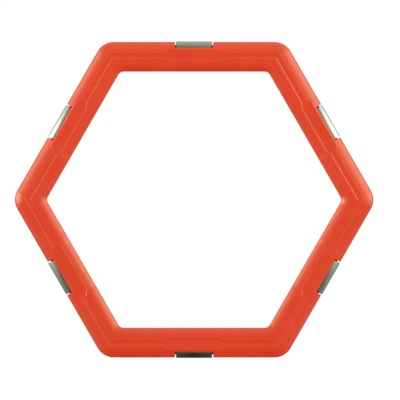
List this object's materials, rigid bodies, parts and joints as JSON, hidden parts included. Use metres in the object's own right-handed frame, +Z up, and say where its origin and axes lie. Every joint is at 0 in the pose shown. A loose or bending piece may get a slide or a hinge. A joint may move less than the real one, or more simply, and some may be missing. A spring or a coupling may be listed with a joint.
{
  "type": "magnetic construction tile",
  "caption": "Flat hexagonal open frame in glossy orange plastic with a spinning magnet capsule let into the middle of every side, for joining to other tiles edge to edge.",
  "frame": {"origin": "centre of the hexagon, on the plane of the lower face", "axes": "+Z up through the ring's opening, +X to a corner, +Y square to side number 1; sides count anticlockwise from +Y"},
  "size_m": [0.128, 0.1128, 0.008],
  "materials": {
    "frame_plastic": "glossy injection-moulded ABS, orange-red",
    "sleeve_steel": "polished stainless steel tube",
    "plug_steel": "turned stainless steel",
    "magnet_nickel": "nickel-plated sintered magnet"
  },
  "bodies": {
    "frame": {"upper_frame": "frame_plastic", "lower_frame": "frame_plastic"},
    "capsule_1": {"sleeve_1": "sleeve_steel", "magnet_1": "magnet_nickel", "plug_1_left": "plug_steel", "plug_1_right": "plug_steel"},
    "capsule_2": {"sleeve_2": "sleeve_steel", "magnet_2": "magnet_nickel", "plug_2_left": "plug_steel", "plug_2_right": "plug_steel"},
    "capsule_3": {"sleeve_3": "sleeve_steel", "magnet_3": "magnet_nickel", "plug_3_left": "plug_steel", "plug_3_right": "plug_steel"},
    "capsule_4": {"sleeve_4": "sleeve_steel", "magnet_4": "magnet_nickel", "plug_4_left": "plug_steel", "plug_4_right": "plug_steel"},
    "capsule_5": {"sleeve_5": "sleeve_steel", "magnet_5": "magnet_nickel", "plug_5_left": "plug_steel", "plug_5_right": "plug_steel"},
    "capsule_6": {"sleeve_6": "sleeve_steel", "magnet_6": "magnet_nickel", "plug_6_left": "plug_steel", "plug_6_right": "plug_steel"}
  },
  "joints": [
    {"name": "capsule_1_spin", "type": "hinge", "parent": "frame", "child": "capsule_1", "pos_m": [0, 0.05419, 0.004], "axis": [1, 0, 0], "continuous": true},
    {"name": "capsule_2_spin", "type": "hinge", "parent": "frame", "child": "capsule_2", "pos_m": [-0.04693, 0.0271, 0.004], "axis": [0.5, 0.866, 0], "continuous": true},
    {"name": "capsule_3_spin", "type": "hinge", "parent": "frame", "child": "capsule_3", "pos_m": [-0.04693, -0.0271, 0.004], "axis": [-0.5, 0.866, 0], "continuous": true},
    {"name": "capsule_4_spin", "type": "hinge", "parent": "frame", "child": "capsule_4", "pos_m": [0, -0.05419, 0.004], "axis": [-1, 0, 0], "continuous": true},
    {"name": "capsule_5_spin", "type": "hinge", "parent": "frame", "child": "capsule_5", "pos_m": [0.04693, -0.0271, 0.004], "axis": [-0.5, -0.866, 0], "continuous": true},
    {"name": "capsule_6_spin", "type": "hinge", "parent": "frame", "child": "capsule_6", "pos_m": [0.04693, 0.0271, 0.004], "axis": [0.5, -0.866, 0], "continuous": true}
  ]
}
